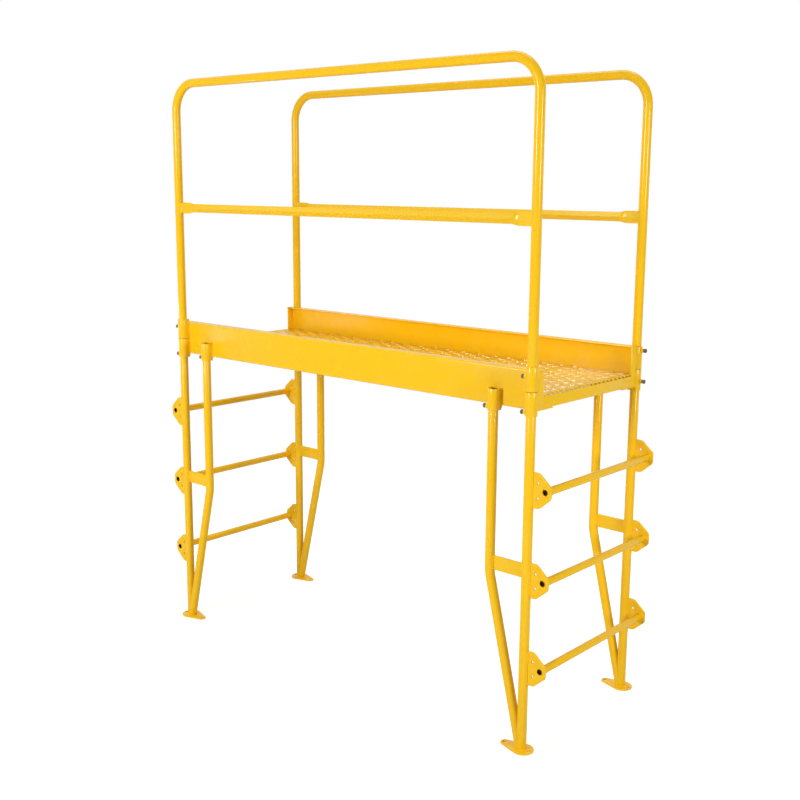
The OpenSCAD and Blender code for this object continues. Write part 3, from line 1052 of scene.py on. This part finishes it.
def upright(side, end, height=0.0):
    """Carries a shape drawn in the X-Y plane to the plane through a corner leg, facing outboard."""
    flip = Matrix.Diagonal((ENDS[end], 1, 1, 1))
    place = Matrix.Translation((ENDS[end] * POST_X, SIDES[side] * POST_Y, height))
    return place @ flip @ Matrix.Rotation(math.pi / 2, 4, "X")


def placed(bm, matrix):
    """Carries a shape to its place and turns its faces outward again."""
    bmesh.ops.transform(bm, matrix=matrix, verts=bm.verts[:])
    face_outward(bm)
    return bm


def rung_levels():
    """Heights of the rungs' axes."""
    return [sum(c.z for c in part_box(f"right_{level}_rung")) / 2 for level in LEVELS]


def ear_plate_set(side, end):
    """Three plates that carry the rungs outboard of a corner leg, each with two bracing holes."""
    bm = bmesh.new()
    for height in rung_levels():
        ear = bmesh.new()
        below = [(EAR_ROOT, -EAR_HALF), (EAR_SHOULDER, -EAR_HALF), (EAR_REACH, -EAR_NOSE)]
        above = [(x, -z) for x, z in reversed(below)]
        edges = outline(ear, below + above)
        for z in (-EAR_HOLE_Z, EAR_HOLE_Z):
            edges += ring(ear, EAR_HOLE_R, Matrix.Translation((EAR_HOLE_X, z, 0)), 24)
        edges += ring(ear, RUNG_R, Matrix.Translation((RUNG_X - POST_X, 0, 0)), 40)
        flat_plate(ear, edges, PLATE, EAR_CORNER)
        join(bm, ear, upright(side, end, height) @ Matrix.Translation((0, 0, -PLATE / 2)))
    return painted(bm, f"{side}_{end}_ear_set", f"{end}_end_frame", [f"{side}_{end}_ear_plates"])


def teardrop(bm, x1, r1, x2, r2):
    """Outline of two circles joined by their common tangents."""
    half = math.acos((r1 - r2) / (x1 - x2))
    tangent = Vector((math.cos(half), math.sin(half), 0))
    first = bm.verts.new((x1 - r1 * tangent.x, r1 * tangent.y, 0))
    second = bm.verts.new((x2 - r2 * tangent.x, -r2 * tangent.y, 0))
    clockwise = (0, 0, -1)
    big = bmesh.ops.spin(
        bm, geom=[first], cent=(x1, 0, 0), axis=clockwise, angle=2 * (math.pi - half), steps=40
    )
    small = bmesh.ops.spin(
        bm, geom=[second], cent=(x2, 0, 0), axis=clockwise, angle=2 * half, steps=20
    )
    bm.edges.new((verts_of(big["geom_last"])[0], second))
    bm.edges.new((verts_of(small["geom_last"])[0], first))
    return bm.edges[:]


def base_plate(side, end):
    bm = bmesh.new()
    edges = teardrop(bm, FOOT_CENTRE, FOOT_R, FOOT_TIP, FOOT_TIP_R)
    for x in ANCHORS:
        edges += ring(bm, ANCHOR_R, Matrix.Translation((x, 0, 0)), 32)
    flat_plate(bm, edges, PLATE)
    sign = ENDS[end]
    foot = Matrix.Translation((sign * POST_X, SIDES[side] * POST_Y, 0))
    placed(bm, foot @ Matrix.Diagonal((sign, 1, 1, 1)))
    return painted(bm, f"{side}_{end}_foot_plate", f"{end}_end_frame", [f"{side}_{end}_base_plate"])


def rung(end, level):
    node = f"{end}_{level}_rung"
    low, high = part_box(node)
    middle = (low + high) / 2
    start = Matrix.Translation((middle.x, high.y, middle.z)) @ Matrix.Rotation(math.pi / 2, 4, "X")
    bm = tube(start, straight(Vector((0, low.y - high.y, 0))), RUNG_R, RUNG_WALL)
    return painted(bm, f"{end}_{level}_rung_tube", f"{end}_end_frame", [node], (yellow, bare_bore))


def end_frame_welds(end):
    """Beads at the feet, the rungs, the ear plates and the tie bars of one end frame."""
    bm = bmesh.new()
    sign = ENDS[end]
    for side, way in SIDES.items():
        y = way * POST_Y
        ring_bead(bm, Matrix.Translation((sign * POST_X, y, PLATE)), TUBE_R + PLATE_PROUD)
        for height in rung_levels():
            across = Matrix.Rotation(math.pi / 2, 4, "X")
            inside = Matrix.Translation((sign * RUNG_X, y - way * PLATE / 2, height)) @ across
            ring_bead(bm, inside, RUNG_R + RUNG_PROUD, RUNG_RIPPLES, RUNG_BEAD)
            for face in (-1, 1):
                x = sign * (POST_X + EAR_WELD)
                low = Vector((0, 0, height - EAR_HALF))
                high = Vector((0, 0, height + EAR_HALF))
                upright_bead(bm, x, y + face * (PLATE / 2 + PLATE_PROUD), low, high, inset=0.004)
        low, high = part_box(f"{side}_{end}_tie_bar")
        for x in (low.x, high.x):
            for y in (low.y - TIE_PROUD, high.y + TIE_PROUD):
                upright_bead(bm, x, y, low, high, inset=0.003)
    return painted(bm, f"{end}_end_frame_welds", f"{end}_end_frame")


# ---- The whole platform ----

make_camera()
make_studio()

for side in SIDES:
    guardrail_hoop(side)
    mid_rail(side)
    guardrail_welds(side)
    side_channel(side)
    for end in ENDS:
        box_piece(f"{side}_{end}_end_cap", f"{side}_{end}_cap_plate", "deck")
        for kind in ("guardrail", "corner_leg", "inner_leg"):
            leg_socket(side, end, kind)
        corner_leg(side, end)
        inner_leg(side, end)
        ear_plate_set(side, end)
        base_plate(side, end)
        box_piece(f"{side}_{end}_tie_bar", f"{side}_{end}_tie_plate", f"{end}_end_frame")

for end in ENDS:
    box_piece(f"{end}_end_beam", f"{end}_beam_plate", "deck")
    end_frame_welds(end)
    for level in LEVELS:
        rung(end, level)

for number in PLANKS:
    deck_plank(number)

deck_welds()
fasteners()
